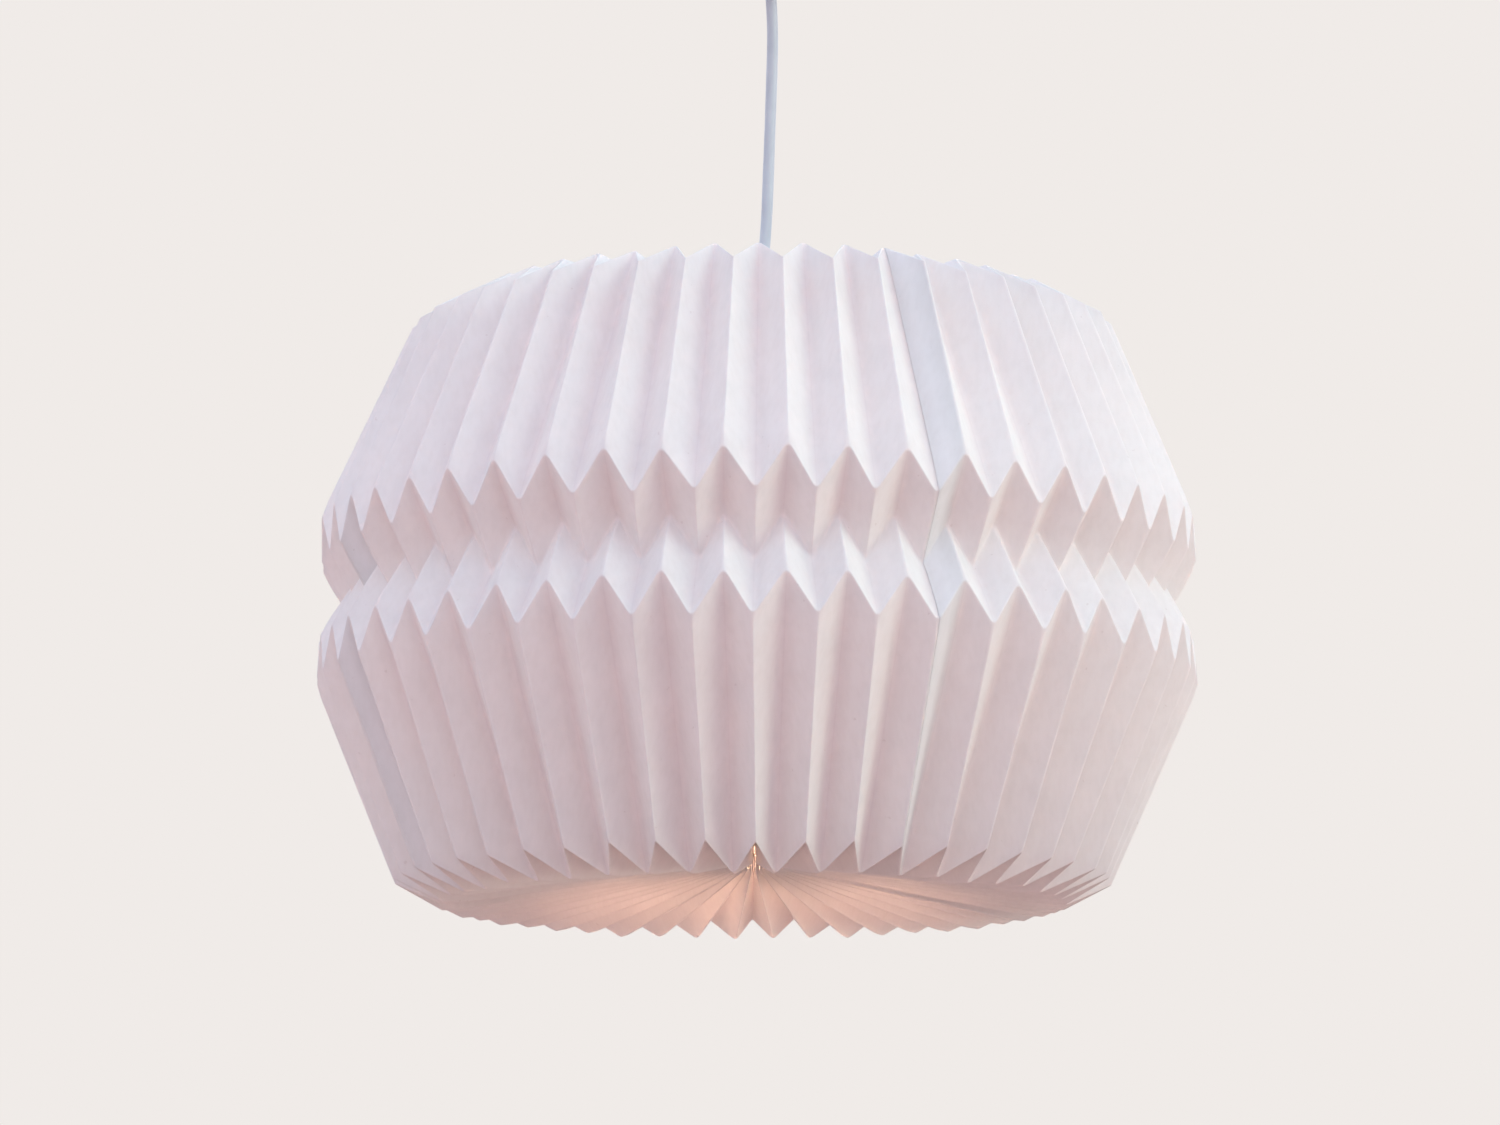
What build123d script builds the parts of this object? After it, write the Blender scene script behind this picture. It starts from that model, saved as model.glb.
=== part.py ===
from build123d import *
import os
from math import cos, pi, sin

# Pleated paper pendant lantern with its ceiling fitting, flex, lampholder and bulb.
# Origin: centre of the ceiling plate's upper face. +Z is up, so the lantern hangs towards -Z.
# Millimetres throughout.

# ---- driving dimensions: paper shade ----
pleat_count = 48
sheet_count = 4
paper = 0.2
glue_gap = 0.05
shade_middle_z = -377.0
shoulder_r = 220.0
shoulder_outer_h = 40.5
shoulder_inner_r = 219.0
shoulder_inner_h = 18.0
waist_r = 201.0
waist_h = 11.2
rim_outer_r = 178.3
rim_outer_h = 138.4
rim_inner_r = 153.3
rim_inner_h = 151.5
disc_slope = 0.15
pleat_depth = 19.2
top_gather_r = 22.0
bottom_gather_r = 15.0
seam_line = 6
flap_start = 0.3
flap_end = 0.7
gather_cord_r = 0.6
gather_cord_inset = 4.5
punch_r = 0.75

# ---- driving dimensions: ceiling fitting and flex ----
plate_r = 39.5
plate_t = 1.5
plate_screw_spacing = 50.0
plate_screw_hole_r = 2.25
cable_entry_r = 6.0
cable_entry_y = 24.0
canopy_r = 42.0
canopy_h = 38.0
canopy_wall = 1.8
flex_r = 2.85
core_r = 1.1
core_spread = 1.3

# ---- driving dimensions: lampholder, shade ring and bulb ----
holder_top_z = -197.0
collar_z = -241.0
collar_t = 4.0
collar_r = 22.5
cap_r = 20.0
wall = 2.4
skirt_r = 19.8
skirt_bottom_z = -284.0
block_r = 15.3
block_top_z = -234.0
block_bottom_z = -252.0
bulb_tip_z = -256.0
bulb_length = 107.0
bulb_r = 30.0
bulb_glass_t = 0.8
lamp_cap_r = 13.15
lamp_cap_bottom_z = -283.0
sheet_metal = 0.35

# ---- clearances ----
running_gap = 0.1
touch_gap = 0.05

os.makedirs("parts", exist_ok=True)


def save(part, name):
    part.label = name
    export_step(part, f"parts/{name}.step")


def pan_screw(head_planes, shank_r, length):
    """Slotted pan-head screws: each head stands on its plane and the shank runs behind it."""
    head_r = 2 * shank_r
    head_t = shank_r
    with BuildPart() as screws:
        for plane in head_planes:
            with BuildSketch(plane):
                Circle(head_r)
            extrude(amount=head_t, taper=20)
            with BuildSketch(plane):
                Circle(shank_r)
            extrude(amount=-length)
            with BuildSketch(plane.offset(head_t)):
                Rectangle(3 * head_r, 0.25 * head_r)
            extrude(amount=-head_t / 2, mode=Mode.SUBTRACT)
    return screws.part


# ======================= ceiling fitting =======================

lug_w = 10.0
lug_t = 2.0
lug_drop = 10.0
lug_y = plate_r - 2.5
side_screw_z = -7.0
side_screw_r = 1.5
side_screw_length = 7.0
tab_y = flex_r + touch_gap
tab_t = 1.5
tab_w = 18.0
tab_drop = 26.0
clamp_screw_x = 6.0
clamp_screw_z = -21.0
clamp_screw_r = 1.5
clamp_h = 8.0
clamp_t = 3.0
sheath_top_z = -14.5

side_screw_planes = [Plane((0, side * canopy_r, side_screw_z), z_dir=(0, side, 0)) for side in (-1, 1)]
clamp_screw_planes = [
    Plane((side * clamp_screw_x, -tab_y - clamp_t, clamp_screw_z), z_dir=(0, -1, 0)) for side in (-1, 1)
]

with BuildPart() as ceiling_plate:
    with BuildSketch(Plane.XY.offset(-plate_t)):
        Circle(plate_r)
        with GridLocations(plate_screw_spacing, 0, 2, 1):
            Circle(plate_screw_hole_r, mode=Mode.SUBTRACT)
        with Locations((0, cable_entry_y)):
            Circle(cable_entry_r, mode=Mode.SUBTRACT)
    extrude(amount=plate_t)
    with Locations((0, lug_y, -plate_t - lug_drop / 2), (0, -lug_y, -plate_t - lug_drop / 2)):
        Box(lug_w, lug_t, lug_drop)
    with Locations((0, tab_y + tab_t / 2, -plate_t - tab_drop / 2)):
        Box(tab_w, tab_t, tab_drop)
    for plane in side_screw_planes:
        with BuildSketch(plane):
            Circle(side_screw_r + running_gap)
        extrude(amount=-side_screw_length, mode=Mode.SUBTRACT)
    for plane in clamp_screw_planes:
        with BuildSketch(plane):
            Circle(clamp_screw_r + running_gap)
        extrude(amount=-2 * tab_y - clamp_t - tab_t, mode=Mode.SUBTRACT)
save(ceiling_plate.part, "ceiling_plate")

with BuildPart() as cord_clamp:
    with Locations((0, -tab_y - clamp_t / 2, clamp_screw_z)):
        Box(tab_w, clamp_t, clamp_h)
    fillet(cord_clamp.edges().filter_by(Axis.Y), clamp_h / 4)
    for plane in clamp_screw_planes:
        with BuildSketch(plane):
            Circle(clamp_screw_r + running_gap)
        extrude(amount=-clamp_t, mode=Mode.SUBTRACT)
save(cord_clamp.part, "cord_clamp")

save(pan_screw(clamp_screw_planes, clamp_screw_r, 2 * tab_y + clamp_t + tab_t + 1), "clamp_screws")

# The cup hangs on two side screws, and the flex leaves through the hole in its foot.
exit_r = flex_r + 0.5
cup_corner_r = 12.0

with BuildPart() as canopy_cup:
    with BuildSketch(Plane.XZ):
        with BuildLine():
            outer_foot = (canopy_r - cup_corner_r, -canopy_h)
            outer_side = (canopy_r, cup_corner_r - canopy_h)
            inner_side = (canopy_r - canopy_wall, cup_corner_r - canopy_h)
            inner_foot = (canopy_r - cup_corner_r, canopy_wall - canopy_h)
            Line((exit_r, -canopy_h), outer_foot)
            TangentArc(outer_foot, outer_side, tangent=(1, 0))
            Polyline(outer_side, (canopy_r, -touch_gap), (canopy_r - canopy_wall, -touch_gap), inner_side)
            TangentArc(inner_side, inner_foot, tangent=(0, -1))
            Polyline(inner_foot, (exit_r, canopy_wall - canopy_h), (exit_r, -canopy_h))
        make_face()
    revolve(axis=Axis.Z)
    for plane in side_screw_planes:
        with BuildSketch(plane):
            Circle(side_screw_r + running_gap)
        extrude(amount=-2 * canopy_wall, mode=Mode.SUBTRACT)
save(canopy_cup.part, "canopy_cup")

save(pan_screw(side_screw_planes, side_screw_r, side_screw_length), "canopy_screws")

# Terminal block: one pair of wire holes along Y, with two clamping screws in each.
terminal_x = 6.0
terminal_z = -8.0
block_w = 26.0
block_depth = 16.0
block_front_y = -14.0
terminal_bore_r = 1.5
terminal_screw_r = 1.5
terminal_screw_rows = (-18.0, -26.0)
terminal_screw_top_z = terminal_z - core_r - touch_gap
terminal_block_bottom_z = terminal_z - 6.0
wire_hole_plane = Plane((0, block_front_y, terminal_z), x_dir=(1, 0, 0), z_dir=(0, -1, 0))
terminal_screw_planes = [
    Plane((side * terminal_x, row_y, terminal_block_bottom_z), z_dir=(0, 0, -1))
    for side in (-1, 1)
    for row_y in terminal_screw_rows
]

with BuildPart() as terminal_block:
    with BuildSketch(Plane.XY.offset(terminal_block_bottom_z)):
        with Locations((0, block_front_y - block_depth / 2)):
            RectangleRounded(block_w, block_depth, 2)
    extrude(amount=-plate_t - touch_gap - terminal_block_bottom_z)
    with BuildSketch(wire_hole_plane):
        with GridLocations(2 * terminal_x, 0, 2, 1):
            Circle(terminal_bore_r)
    extrude(amount=block_depth, mode=Mode.SUBTRACT)
    for plane in terminal_screw_planes:
        with BuildSketch(plane):
            Circle(terminal_screw_r + running_gap)
        extrude(amount=terminal_z - terminal_block_bottom_z, both=True, mode=Mode.SUBTRACT)
save(terminal_block.part, "terminal_block")

terminal_screw_length = terminal_screw_top_z - terminal_block_bottom_z
save(pan_screw(terminal_screw_planes, terminal_screw_r, terminal_screw_length), "terminal_screws")


# ======================= flex =======================
# One flex in life. It is cut where it bends and twists: in the canopy's foot and in the
# lampholder's neck.

swing_z = canopy_wall / 2 - canopy_h
flex_drop_bottom_z = holder_top_z - 4.0
sheath_bottom_z = -216.0

with BuildPart() as flex_drop:
    with BuildSketch(Plane.XY.offset(flex_drop_bottom_z)):
        Circle(flex_r)
    extrude(amount=swing_z - flex_drop_bottom_z)
    with Locations((0, 0, swing_z)):
        Sphere(flex_r)
save(flex_drop.part, "flex_drop")


def flex_stub(bottom_z, top_z):
    with BuildPart() as stub:
        with BuildSketch(Plane.XY.offset(bottom_z)):
            Circle(flex_r)
        extrude(amount=top_z - bottom_z)
    return stub.part


save(flex_stub(swing_z + flex_r + touch_gap, sheath_top_z), "flex_top")
save(flex_stub(sheath_bottom_z, flex_drop_bottom_z - touch_gap), "flex_bottom")


def core(start, bend, end, start_direction, end_direction):
    """An insulated core that curves from the cut sheath to a terminal."""
    with BuildPart() as wire:
        with BuildLine() as path:
            curve = Spline(start, bend, tangents=(start_direction, end_direction))
            Line(curve @ 1, end)
        with BuildSketch(Plane(path.line @ 0, z_dir=path.line % 0)):
            Circle(core_r)
        sweep()
    return wire.part


core_reach = 5.0
for side, colour in ((-1, "brown"), (1, "blue")):
    top_core = core(
        (side * core_spread, 0, sheath_top_z + touch_gap),
        (side * terminal_x, block_front_y + 1, terminal_z),
        (side * terminal_x, block_front_y - core_reach, terminal_z),
        (0, 0, 1),
        (0, -1, 0),
    )
    save(top_core, f"{colour}_core_top")


# ======================= lampholder =======================

neck_r = 6.5
neck_h = 6.0
cavity_top_z = holder_top_z - 9.0
cap_shoulder_z = -214.0
spigot_h = 7.0
upper_bore_r = block_r + running_gap
lower_bore_r = 14.2
spigot_r = cap_r - wall - running_gap
skirt_thread_pitch = 3.0
skirt_thread_depth = 0.7
collar_top_z = collar_z + collar_t
neck_foot = (neck_r, holder_top_z - neck_h)

with BuildPart() as holder_cap:
    with BuildSketch(Plane.XZ):
        with BuildLine():
            Polyline((flex_r + running_gap, cavity_top_z), (flex_r + running_gap, holder_top_z),
                     (neck_r, holder_top_z), neck_foot)
            Spline(neck_foot, (cap_r, cap_shoulder_z), tangents=((1, -0.15), (0, -1)))
            Polyline((cap_r, cap_shoulder_z), (cap_r, collar_top_z), (cap_r - wall, collar_top_z),
                     (cap_r - wall, cap_shoulder_z - 1))
            Spline((cap_r - wall, cap_shoulder_z - 1), (neck_r + 1, cavity_top_z),
                   tangents=((0, 1), (-1, 0.15)))
            Line((neck_r + 1, cavity_top_z), (flex_r + running_gap, cavity_top_z))
        make_face()
    revolve(axis=Axis.Z)
    fillet(holder_cap.edges().group_by(Axis.Z)[-1].sort_by(SortBy.RADIUS)[-1], 1.2)
save(holder_cap.part, "holder_cap")

with BuildPart() as cord_grip:
    grip_h = 5.0
    grip_slot = 1.2
    with BuildSketch(Plane.XY.offset(cavity_top_z - touch_gap - grip_h)):
        Circle(neck_r)
        Circle(flex_r + touch_gap, mode=Mode.SUBTRACT)
        with Locations((0, neck_r)):
            Rectangle(grip_slot, 2 * neck_r, mode=Mode.SUBTRACT)
    extrude(amount=grip_h)
save(cord_grip.part, "cord_grip")

# Body: a spigot for the cap, a collar that the shade carrier hangs under, and a threaded skirt.
# The thread is a row of rounded rings, one per pitch.
thread_top_z = collar_z - 6.0
thread_count = int((thread_top_z - skirt_bottom_z) / skirt_thread_pitch)

with BuildPart() as holder_body:
    with BuildSketch(Plane.XY.offset(skirt_bottom_z)):
        Circle(skirt_r)
        Circle(lower_bore_r, mode=Mode.SUBTRACT)
    extrude(amount=block_bottom_z - skirt_bottom_z)
    with BuildSketch(Plane.XY.offset(block_bottom_z)):
        Circle(skirt_r)
        Circle(upper_bore_r, mode=Mode.SUBTRACT)
    extrude(amount=collar_z - block_bottom_z)
    with BuildSketch(Plane.XY.offset(collar_z)):
        Circle(collar_r)
        Circle(upper_bore_r, mode=Mode.SUBTRACT)
    extrude(amount=collar_t)
    with BuildSketch(Plane.XY.offset(collar_top_z)):
        Circle(spigot_r)
        Circle(upper_bore_r, mode=Mode.SUBTRACT)
    extrude(amount=spigot_h)
    with BuildSketch(Plane.XZ):
        for i in range(thread_count):
            with Locations((skirt_r + skirt_thread_depth, thread_top_z - (i + 0.5) * skirt_thread_pitch)):
                Circle(2 * skirt_thread_depth)
    revolve(axis=Axis.Z, mode=Mode.SUBTRACT)
    collar_edges = holder_body.edges().filter_by(GeomType.CIRCLE).filter_by(lambda e: e.radius == collar_r)
    fillet(collar_edges, 0.8)
save(holder_body.part, "holder_body")

# Contact block: the centre contact's stem slides in its blind bore, and the cores end in two wells.
well_x = 8.0
well_r = 1.5
well_depth = 10.0
stem_r = 1.5
stem_top_z = -243.0
stem_bore_top_z = stem_top_z + 2.0
grub_r = 1.2
grub_z = block_top_z - 5.0
grub_tip_y = core_r + touch_gap
grub_tail_y = 11.5
grub_planes = [Plane((side * well_x, -grub_tail_y, grub_z), z_dir=(0, -1, 0)) for side in (-1, 1)]

with BuildPart() as contact_block:
    with BuildSketch(Plane.XY.offset(block_bottom_z + touch_gap)):
        Circle(block_r)
    extrude(amount=block_top_z - block_bottom_z - touch_gap)
    with BuildSketch(Plane.XY.offset(block_bottom_z)):
        Circle(stem_r + running_gap)
    extrude(amount=stem_bore_top_z - block_bottom_z, mode=Mode.SUBTRACT)
    with BuildSketch(Plane.XY.offset(block_top_z)):
        with GridLocations(2 * well_x, 0, 2, 1):
            Circle(well_r)
    extrude(amount=-well_depth, mode=Mode.SUBTRACT)
    for plane in grub_planes:
        with BuildSketch(plane.offset(block_r)):
            Circle(grub_r + running_gap)
        extrude(amount=-block_r - grub_tail_y + grub_tip_y - 2 * running_gap, mode=Mode.SUBTRACT)
save(contact_block.part, "contact_block")

with BuildPart() as contact_screws:
    for plane in grub_planes:
        with BuildSketch(plane):
            Circle(grub_r)
        extrude(amount=grub_tip_y - grub_tail_y)
        with BuildSketch(plane):
            Rectangle(4 * grub_r, grub_r / 3)
        extrude(amount=-grub_r / 2, mode=Mode.SUBTRACT)
save(contact_screws.part, "contact_screws")

core_end_z = block_top_z - well_depth + 1
for side, colour in ((-1, "brown"), (1, "blue")):
    bottom_core = core(
        (side * core_spread, 0, sheath_bottom_z - touch_gap),
        (side * well_x, 0, block_top_z + 2),
        (side * well_x, 0, core_end_z),
        (0, 0, -1),
        (0, 0, -1),
    )
    save(bottom_core, f"{colour}_core_bottom")

shell_r = lamp_cap_r + running_gap
shell_bottom_z = skirt_bottom_z + 2.0
shell_lip_r = 8.0

with BuildPart() as screw_shell:
    with BuildSketch(Plane.XY.offset(shell_bottom_z)):
        Circle(shell_r + sheet_metal)
        Circle(shell_r, mode=Mode.SUBTRACT)
    extrude(amount=block_bottom_z - sheet_metal - shell_bottom_z)
    with BuildSketch(Plane.XY.offset(block_bottom_z)):
        Circle(shell_r + sheet_metal)
        Circle(shell_lip_r, mode=Mode.SUBTRACT)
    extrude(amount=-sheet_metal)
save(screw_shell.part, "screw_shell")

contact_disc_r = 3.5
contact_disc_t = 0.8

with BuildPart() as centre_contact:
    with BuildSketch(Plane.XY.offset(bulb_tip_z + touch_gap)):
        Circle(contact_disc_r)
    extrude(amount=contact_disc_t)
    with BuildSketch(Plane.XY.offset(bulb_tip_z + touch_gap + contact_disc_t)):
        Circle(stem_r)
    extrude(amount=stem_top_z - bulb_tip_z - touch_gap - contact_disc_t)
save(centre_contact.part, "centre_contact")


# ======================= bulb =======================

tip_r = 4.2
tip_t = 1.5
insulator_h = 2.5
insulator_base_r = 11.5
lip_h = 2.5
glass_neck_r = lamp_cap_r - sheet_metal - 0.2
glass_top_z = -277.0
bulb_bottom_z = bulb_tip_z - bulb_length
bulb_middle_z = bulb_bottom_z + bulb_r
insulator_top_z = bulb_tip_z - tip_t
insulator_bottom_z = insulator_top_z - insulator_h
lip_top_z = insulator_bottom_z - touch_gap
lip_bottom_z = lip_top_z - lip_h

with BuildPart() as bulb_tip:
    with BuildSketch(Plane.XY.offset(insulator_top_z)):
        Circle(tip_r)
    extrude(amount=tip_t, taper=25)
save(bulb_tip.part, "bulb_tip")

with BuildPart() as bulb_insulator:
    with BuildSketch(Plane.XY.offset(insulator_bottom_z)):
        Circle(insulator_base_r)
    with BuildSketch(Plane.XY.offset(insulator_top_z - touch_gap)):
        Circle(tip_r + 1)
    loft()
save(bulb_insulator.part, "bulb_insulator")

with BuildPart() as bulb_screw_cap:
    with BuildSketch(Plane.XZ):
        with BuildLine():
            Polyline(
                (lamp_cap_r, lamp_cap_bottom_z),
                (lamp_cap_r, lip_bottom_z),
                (insulator_base_r, lip_top_z),
                (insulator_base_r - 1, lip_top_z),
                (insulator_base_r - 1, lip_top_z - sheet_metal),
                (lamp_cap_r - sheet_metal, lip_bottom_z - sheet_metal),
                (lamp_cap_r - sheet_metal, lamp_cap_bottom_z),
                close=True,
            )
        make_face()
    revolve(axis=Axis.Z)
save(bulb_screw_cap.part, "bulb_screw_cap")


def bulb_silhouette(inset):
    """Half section of the bulb's envelope down to its foot, drawn inset from the outer face."""
    with BuildSketch(Plane.XZ) as silhouette:
        with BuildLine():
            shoulder = (glass_neck_r - inset, lamp_cap_bottom_z - 1)
            waist = (bulb_r - inset, bulb_middle_z)
            Polyline((0, bulb_middle_z), (0, glass_top_z), (glass_neck_r - inset, glass_top_z), shoulder)
            Spline(shoulder, waist, tangents=((0, -1), (0, -1)), tangent_scalars=(0.8, 1.1))
            RadiusArc(waist, (0, bulb_bottom_z + inset), bulb_r - inset)
            Line((0, bulb_bottom_z + inset), (0, bulb_middle_z))
        make_face()
    return silhouette.sketch


with BuildPart() as bulb_glass:
    add(bulb_silhouette(0))
    revolve(axis=Axis.Z)
    add(bulb_silhouette(bulb_glass_t))
    revolve(axis=Axis.Z, mode=Mode.SUBTRACT)
save(bulb_glass.part, "bulb_glass")

# Glass stem, and on it a crown at each end that holds the filament rods upright.
stem_base_r = 9.5
stem_base_z = glass_top_z - 2.5
stem_neck_z = stem_base_z - 9.0
stem_tube_r = 2.2
stem_tip_z = -305.0
rod_r = 0.9
rod_ring_r = 7.5
rod_top_z = -303.0
rod_length = 32.0
rod_count = 4
crown_wire_r = 0.35
rod_places = PolarLocations(rod_ring_r, rod_count)

with BuildPart() as bulb_stem:
    with BuildSketch(Plane.XZ):
        with BuildLine():
            base = (stem_base_r, stem_base_z - 1)
            neck = (stem_tube_r, stem_neck_z)
            Polyline((0, stem_tip_z), (0, stem_base_z), (stem_base_r, stem_base_z), base)
            Spline(base, neck, tangents=((-1, 0), (0, -1)))
            Polyline(neck, (stem_tube_r, stem_tip_z), (0, stem_tip_z))
        make_face()
    revolve(axis=Axis.Z)
save(bulb_stem.part, "bulb_stem")

with BuildPart() as filament_rods:
    with BuildSketch(Plane.XY.offset(rod_top_z)):
        with rod_places:
            Circle(rod_r)
    extrude(amount=-rod_length)
save(filament_rods.part, "filament_rods")

upper_crown_z = rod_top_z + crown_wire_r + touch_gap
lower_crown_z = rod_top_z - rod_length - crown_wire_r - touch_gap

with BuildPart() as filament_crowns:
    for crown_z, hub_r in ((upper_crown_z, stem_tube_r + touch_gap), (lower_crown_z, 0)):
        with Locations((0, 0, crown_z)):
            Torus(rod_ring_r, crown_wire_r)
        spoke = rod_ring_r - hub_r
        for plane in [Plane(place.position + Vector(0, 0, crown_z), z_dir=place.position * -1)
                      for place in rod_places.locations]:
            with BuildSketch(plane):
                Circle(crown_wire_r)
            extrude(amount=spoke)
    with BuildSketch(Plane.XY.offset(lower_crown_z)):
        Circle(crown_wire_r)
    extrude(amount=stem_tip_z - touch_gap - lower_crown_z)
save(filament_crowns.part, "filament_crowns")

with BuildPart() as driver_board:
    with Locations((0, 0, glass_top_z + 8)):
        Box(14, 1, 14)
    with Locations((3, 1.5, glass_top_z + 9), (-3.5, 1.5, glass_top_z + 6)):
        Box(4, 2, 6)
save(driver_board.part, "driver_board")


# ======================= shade carrier and ring =======================

carrier_wall = 1.3
flange_r = 31.0
flange_t = 2.0
flange_top_z = -266.0
carrier_bottom_z = flange_top_z - flange_t
ring_r = 26.0
ring_h = 8.0
ring_rib_count = 24
ring_rib_r = 1.2

with BuildPart() as shade_carrier:
    with BuildSketch(Plane.XY.offset(carrier_bottom_z)):
        Circle(skirt_r + carrier_wall + running_gap)
        Circle(skirt_r + running_gap, mode=Mode.SUBTRACT)
    extrude(amount=collar_z - touch_gap - carrier_bottom_z)
    with BuildSketch(Plane.XY.offset(carrier_bottom_z)):
        Circle(flange_r)
        Circle(skirt_r + carrier_wall, mode=Mode.SUBTRACT)
    extrude(amount=flange_t)
    fillet(shade_carrier.edges().filter_by(GeomType.CIRCLE).sort_by(SortBy.RADIUS)[-2:], flange_t / 3)
save(shade_carrier.part, "shade_carrier")

with BuildPart() as shade_ring:
    with BuildSketch(Plane.XY.offset(carrier_bottom_z - touch_gap)):
        Circle(ring_r)
        Circle(skirt_r + running_gap, mode=Mode.SUBTRACT)
        with PolarLocations(ring_r + ring_rib_r / 2, ring_rib_count):
            Circle(ring_rib_r, mode=Mode.SUBTRACT)
    extrude(amount=-ring_h)
    chamfer(shade_ring.faces().filter_by(Axis.Z).edges().filter_by(GeomType.CIRCLE, reverse=False), 0.4)
save(shade_ring.part, "shade_ring")


# ======================= pleated paper shade =======================
# Fold lines run down the shade in two alternating kinds. Each starts at the top gather, turns
# over the rim, shoulder, waist, lower shoulder and lower rim, and ends at the bottom gather.
# The lower half is the upper half turned over, so the two kinds of line swap places.

gentle_turn = 15
half_pitch = pi / pleat_count
line_count = 2 * pleat_count
panels_per_sheet = line_count // sheet_count


def ridge_height(r):
    return rim_inner_h - disc_slope * (rim_inner_r - r)


line_a = [
    (top_gather_r, ridge_height(top_gather_r) - pleat_depth),
    (rim_outer_r, rim_outer_h),
    (shoulder_r, shoulder_outer_h),
    (waist_r, waist_h),
    (shoulder_inner_r, -shoulder_inner_h),
    (rim_inner_r, -rim_inner_h),
    (bottom_gather_r, -ridge_height(bottom_gather_r)),
]
line_b = [
    (top_gather_r, ridge_height(top_gather_r)),
    (rim_inner_r, rim_inner_h),
    (shoulder_inner_r, shoulder_inner_h),
    (waist_r, -waist_h),
    (shoulder_r, -shoulder_outer_h),
    (rim_outer_r, -rim_outer_h),
    (bottom_gather_r, pleat_depth - ridge_height(bottom_gather_r)),
]


# Rows of points on each stretch of a line, as fractions of the stretch. They get closer towards
# the gathers, where the panels twist most.
disc_rows = (0, 0.1, 0.25, 0.5)
disc_rows_upwards = (0,) + tuple(1 - fraction for fraction in reversed(disc_rows[1:]))
side_stretches = len(line_a) - 3
row_fractions = [disc_rows] + side_stretches * [(0,)] + [disc_rows_upwards]


def fold_corners(index):
    """The corners of one fold line, from the top gather to the bottom gather."""
    profile = line_a if index % 2 else line_b
    angle = index * half_pitch
    return [Vector(r * sin(angle), -r * cos(angle), shade_middle_z + h) for r, h in profile]


def fold_line(index):
    """One fold line as its corners and the rows of points between them."""
    corners = fold_corners(index)
    points = [
        start + (end - start) * fraction
        for start, end, fractions in zip(corners, corners[1:], row_fractions)
        for fraction in fractions
    ]
    return points + corners[-1:]


def between(left, right, fraction):
    return [a + (b - a) * fraction for a, b in zip(left, right)]


def panel_normals(left, right):
    """Outward normals of the panels between two lines of points, from top to bottom."""
    return [
        (right[i + 1] - left[i]).cross(right[i] - left[i + 1]).normalized()
        for i in range(len(left) - 1)
    ]


def lift_between(upper, lower, side):
    """The vector that rises one unit off two panels and doesn't move sideways."""
    if upper.get_angle(lower) > gentle_turn:
        return (lower.cross(side) + side.cross(upper)) * (1 / upper.dot(lower.cross(side)))
    middle = (upper + lower) * 0.5
    rise = middle - side * middle.dot(side)
    return rise * (1 / rise.dot(middle))


def lift_vectors(normals, sides):
    """One vector for each point of a line, which carries it one unit off its panels."""
    last = len(normals) - 1
    return [
        lift_between(normals[max(i - 1, 0)], normals[min(i, last)], side)
        for i, side in enumerate(sides)
    ]


def raised(points, lifts, distance):
    return [point + lift * distance for point, lift in zip(points, lifts)]


def sheet_lines(first):
    """Middle surface of one sheet as lines of points, each with its lift vectors.

    The sheet's first panel is glued over the last panel of the sheet before it. Its own last
    panel is a flap that goes under the next sheet.
    """
    last = first + panels_per_sheet
    glued = paper + glue_gap
    strips = []
    for start, distance in ((first, glued), (last, 0)):
        left = fold_line(start)
        right = fold_line(start + 1)
        sides = [(b - a).normalized() for a, b in zip(left, right)]
        lifts = lift_vectors(panel_normals(left, right), sides)
        strips.append([(raised(between(left, right, fraction), lifts, distance), lifts)
                       for fraction in (flap_start, flap_end)])
    folds = []
    for index in range(first + 1, last + 1):
        points = fold_line(index)
        angle = index * half_pitch
        sides = [Vector(cos(angle), sin(angle), 0)] * len(points)
        lifts = lift_vectors(panel_normals(points, fold_line(index + 1)), sides)
        folds.append((points, lifts))
    points, lifts = folds[0]
    folds[0] = (raised(points, lifts, glued), lifts)
    return strips[0] + folds + strips[1]


def triangle(a, b, c):
    return Face(Wire.make_polygon([a, b, c], close=True))


def panel_faces(left, right):
    """Two triangles for each panel between two lines of points."""
    faces = []
    for i in range(len(left) - 1):
        faces.append(triangle(left[i], left[i + 1], right[i + 1]))
        faces.append(triangle(left[i], right[i + 1], right[i]))
    return faces


def sheet_solid(first):
    """One pleated sheet as a closed solid of the paper's real thickness."""
    lines = sheet_lines(first)
    outer = [raised(points, lifts, paper / 2) for points, lifts in lines]
    inner = [raised(points, lifts, -paper / 2) for points, lifts in lines]
    faces = panel_faces(outer[0], inner[0]) + panel_faces(outer[-1], inner[-1])
    for k in range(len(lines) - 1):
        faces += panel_faces(outer[k], outer[k + 1]) + panel_faces(inner[k], inner[k + 1])
        for end in (0, -1):
            faces += panel_faces([outer[k][end], inner[k][end]], [outer[k + 1][end], inner[k + 1][end]])
    return Solid(Shell(faces))


def point_at_radius(gather, rim, r):
    fraction = (r - Vector(gather.X, gather.Y).length) / (
        Vector(rim.X, rim.Y).length - Vector(gather.X, gather.Y).length)
    return gather + (rim - gather) * fraction


def punch_centre(index, end, r):
    """Middle of one panel's edge hole, where the gather cord goes through."""
    gather, rim = (0, 1) if end == "top" else (-1, -2)
    left = fold_corners(index)
    right = fold_corners(index + 1)
    return (point_at_radius(left[gather], left[rim], r) + point_at_radius(right[gather], right[rim], r)) * 0.5


gather_radii = {"top": top_gather_r + gather_cord_inset, "bottom": bottom_gather_r + gather_cord_inset}
punch_length = 1.1

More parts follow.
